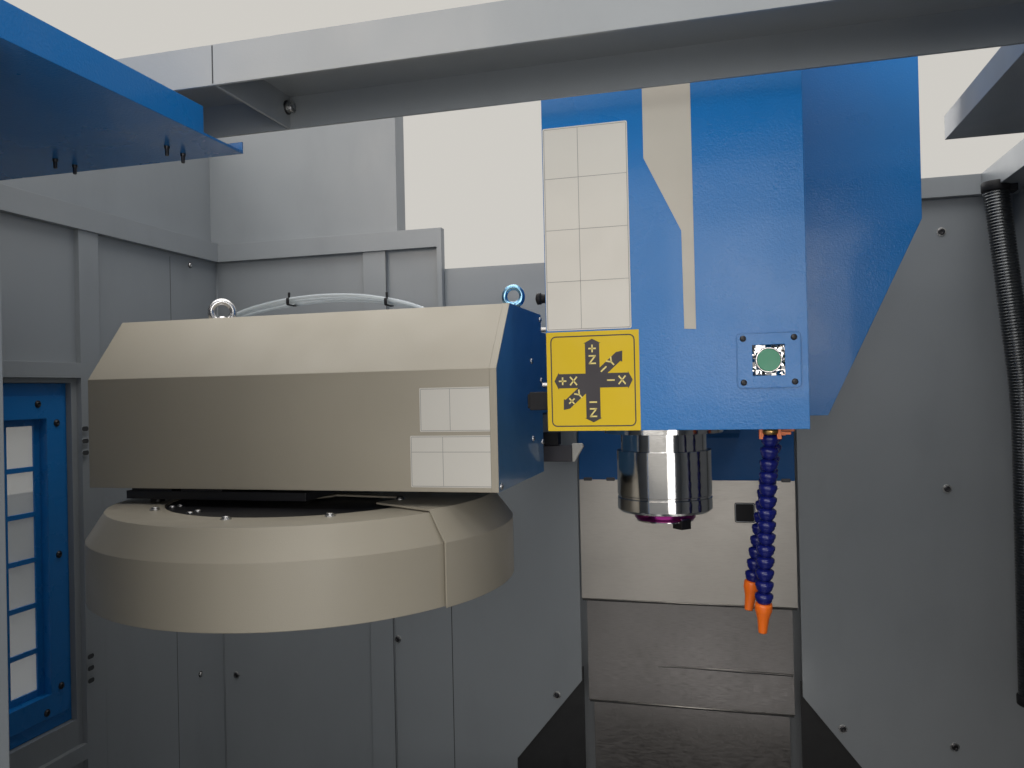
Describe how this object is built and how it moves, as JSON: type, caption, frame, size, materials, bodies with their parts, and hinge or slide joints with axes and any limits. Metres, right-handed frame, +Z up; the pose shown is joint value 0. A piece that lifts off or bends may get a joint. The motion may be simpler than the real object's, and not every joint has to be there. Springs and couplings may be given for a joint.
{
  "type": "cnc machining center",
  "caption": "Vertical machining center with sliding table, moving spindle head, swinging umbrella tool magazine and open-topped guard with sliding doors.",
  "frame": {"origin": "on the floor under the spindle axis", "axes": "+X along the table to the right, +Y back towards the column, +Z up along the spindle"},
  "size_m": [2.387, 2.4013, 2.39],
  "materials": {
    "blue_paint": "glossy orange-peel blue enamel",
    "dark_blue_paint": "dark blue enamel on castings",
    "grey_paint": "satin light grey enamel on sheet metal",
    "beige_paint": "fine textured warm grey powder coat",
    "casting_paint": "grey painted cast iron",
    "black_paint": "satin black enamel",
    "ground_steel": "ground and brushed steel",
    "cover_steel": "dull rolled stainless sheet",
    "black_rubber": "matt black rubber",
    "clear_glass": "laminated clear pane",
    "clear_tube": "clear flexible tube",
    "hose_plastic": "navy moulded plastic",
    "nozzle_plastic": "orange moulded plastic",
    "button_green": "green moulded plastic",
    "button_red": "red moulded plastic",
    "black_plastic": "black moulded plastic",
    "conduit_plastic": "dark ribbed plastic"
  },
  "bodies": {
    "frame": {"base_casting": "casting_paint", "leveling_feet": "ground_steel", "column_casting": "casting_paint", "guide_rails": "ground_steel", "axis_motors": "black_paint", "guard_outriggers": "grey_paint", "chip_pan": "grey_paint", "left_wall": "grey_paint", "right_wall": "grey_paint", "back_wall": "grey_paint", "rear_skirts": "black_rubber", "front_frame": "grey_paint", "door_tracks": "ground_steel", "window_frame": "blue_paint", "window_pane": "clear_glass", "header_beam": "grey_paint", "beam_extension": "grey_paint", "right_roof_panel": "grey_paint", "coolant_conduit": "conduit_plastic", "magazine_bracket": "blue_paint", "magazine_box": "beige_paint", "carriage_bars": "ground_steel", "air_cylinder": "ground_steel", "eye_bolts": "ground_steel", "air_tubes": "clear_tube", "fixed_way_cover": "cover_steel", "electrical_cabinet": "grey_paint"},
    "y_screw": {"y_ball_screw": "ground_steel"},
    "z_screw": {"z_ball_screw": "ground_steel"},
    "head": {"head_casting": "dark_blue_paint", "spindle_cartridge": "ground_steel", "spindle_motor": "black_paint", "head_cover": "blue_paint", "head_side_guard": "blue_paint", "way_cover_1": "cover_steel", "coolant_hoses": "hose_plastic", "hose_nozzles": "nozzle_plastic", "button_bezel": "blue_paint"},
    "button": {"push_button": "button_green"},
    "spindle_rotor": {"spindle": "ground_steel"},
    "cover_2": {"way_cover_2": "cover_steel"},
    "cover_3": {"way_cover_3": "cover_steel"},
    "cross_saddle": {"saddle": "casting_paint", "x_guide_rails": "ground_steel", "x_motor": "black_paint", "saddle_covers": "cover_steel"},
    "x_screw": {"x_ball_screw": "ground_steel"},
    "work_table": {"table": "ground_steel"},
    "magazine_carriage": {"carriage": "black_paint", "hat_cover": "beige_paint", "disc_motor": "black_paint"},
    "disc": {"tool_disc": "black_paint"},
    "swing_door": {"magazine_door": "beige_paint"},
    "left_slider": {"left_door": "blue_paint", "door_pane": "clear_glass"},
    "right_slider": {"right_door": "blue_paint"},
    "rear_door": {"cabinet_door": "grey_paint"},
    "console_swing": {"console": "grey_paint"},
    "stop": {"stop_button": "button_red"},
    "feed_dial": {"feed_knob": "black_plastic"}
  },
  "joints": [
    {"name": "z_travel", "type": "slide", "parent": "frame", "child": "head", "axis": [0, 0, 1], "range_m": [-0.5, 0.13]},
    {"name": "z_screw_turn", "type": "hinge", "parent": "frame", "child": "z_screw", "pos_m": [0, 0.7, 1.2], "axis": [0, 0, 1], "range_deg": [-18036, 4716]},
    {"name": "cover_2_slide", "type": "slide", "parent": "frame", "child": "cover_2", "axis": [0, 0, 1], "range_m": [-0.334, 0.087]},
    {"name": "cover_3_slide", "type": "slide", "parent": "frame", "child": "cover_3", "axis": [0, 0, 1], "range_m": [-0.167, 0.044]},
    {"name": "spindle_turn", "type": "hinge", "parent": "head", "child": "spindle_rotor", "pos_m": [0, 0, 1.435], "axis": [0, 0, 1], "continuous": true},
    {"name": "button_press", "type": "slide", "parent": "head", "child": "button", "axis": [0, 1, 0], "range_m": [0, 0.004], "stiffness_N_per_m": 800},
    {"name": "y_travel", "type": "slide", "parent": "frame", "child": "cross_saddle", "axis": [0, 1, 0], "range_m": [-0.2, 0.2]},
    {"name": "y_screw_turn", "type": "hinge", "parent": "frame", "child": "y_screw", "pos_m": [0, 0, 0.48], "axis": [0, 1, 0], "range_deg": [-7236, 7236]},
    {"name": "x_travel", "type": "slide", "parent": "cross_saddle", "child": "work_table", "axis": [1, 0, 0], "range_m": [-0.3, 0.3]},
    {"name": "x_screw_turn", "type": "hinge", "parent": "cross_saddle", "child": "x_screw", "pos_m": [0, 0, 0.63], "axis": [1, 0, 0], "range_deg": [-10836, 10836]},
    {"name": "carriage_travel", "type": "slide", "parent": "frame", "child": "magazine_carriage", "axis": [1, 0, 0], "range_m": [0, 0.318]},
    {"name": "magazine_door_swing", "type": "hinge", "parent": "magazine_carriage", "child": "swing_door", "pos_m": [-0.636, 0, 1.467], "axis": [0, 0, 1], "range_deg": [0, 56.2]},
    {"name": "disc_turn", "type": "hinge", "parent": "magazine_carriage", "child": "disc", "pos_m": [-0.636, 0, 1.457], "axis": [0, 0, 1], "continuous": true},
    {"name": "left_door_slide", "type": "slide", "parent": "frame", "child": "left_slider", "axis": [1, 0, 0], "range_m": [0, 0.668]},
    {"name": "right_door_slide", "type": "slide", "parent": "frame", "child": "right_slider", "axis": [-1, 0, 0], "range_m": [0, 0.267]},
    {"name": "cabinet_door_swing", "type": "hinge", "parent": "frame", "child": "rear_door", "pos_m": [-0.449, 1.5013, 1.3], "axis": [0, 0, 1], "range_deg": [0, 110]},
    {"name": "console_swivel", "type": "hinge", "parent": "frame", "child": "console_swing", "pos_m": [0.765, -0.69, 1.3], "axis": [0, 0, 1], "range_deg": [-45, 60]},
    {"name": "stop_press", "type": "slide", "parent": "console_swing", "child": "stop", "axis": [0, 1, 0], "range_m": [0, 0.006], "stiffness_N_per_m": 1500},
    {"name": "feed_knob_turn", "type": "hinge", "parent": "console_swing", "child": "feed_dial", "pos_m": [0.867, -0.8, 1.182], "axis": [0, 1, 0], "range_deg": [-140, 140]}
  ],
  "couplings": [
    {"joint": "z_screw_turn", "follows": "z_travel", "rad_per_m": 628.32},
    {"joint": "cover_2_slide", "follows": "z_travel", "ratio": 0.6667},
    {"joint": "cover_3_slide", "follows": "z_travel", "ratio": 0.3333},
    {"joint": "y_screw_turn", "follows": "y_travel", "rad_per_m": 628.32},
    {"joint": "x_screw_turn", "follows": "x_travel", "rad_per_m": 628.32},
    {"joint": "magazine_door_swing", "follows": "carriage_travel", "rad_per_m": 3.0735}
  ]
}
